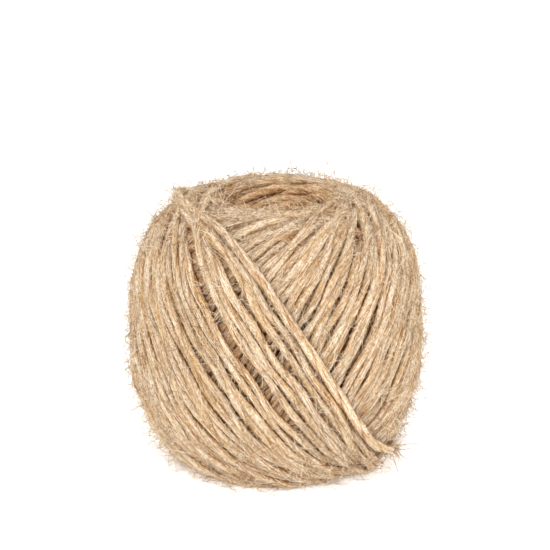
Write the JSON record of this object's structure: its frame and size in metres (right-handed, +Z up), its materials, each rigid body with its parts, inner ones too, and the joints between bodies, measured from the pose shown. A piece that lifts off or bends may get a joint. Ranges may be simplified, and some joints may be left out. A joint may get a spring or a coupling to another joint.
{
  "type": "ball of jute twine",
  "caption": "Barrel-shaped ball of two-ply jute twine wound on the slant, with an open hollow at the top and bottom and a short frayed loose end.",
  "frame": {"origin": "middle of the pressed ring that the ball stands on", "axes": "+Z up along the ball's winding axis, out of the top hollow; -Y towards the side that shows the last turn"},
  "size_m": [0.078, 0.0807, 0.0732],
  "materials": {
    "wound_jute": "dull, hairy natural jute, wound in slanting turns",
    "jute_cord": "dull, hairy natural jute, two plies twisted together"
  },
  "bodies": {
    "root": {"wound_twine": "wound_jute", "loose_end": "jute_cord"}
  },
  "joints": []
}
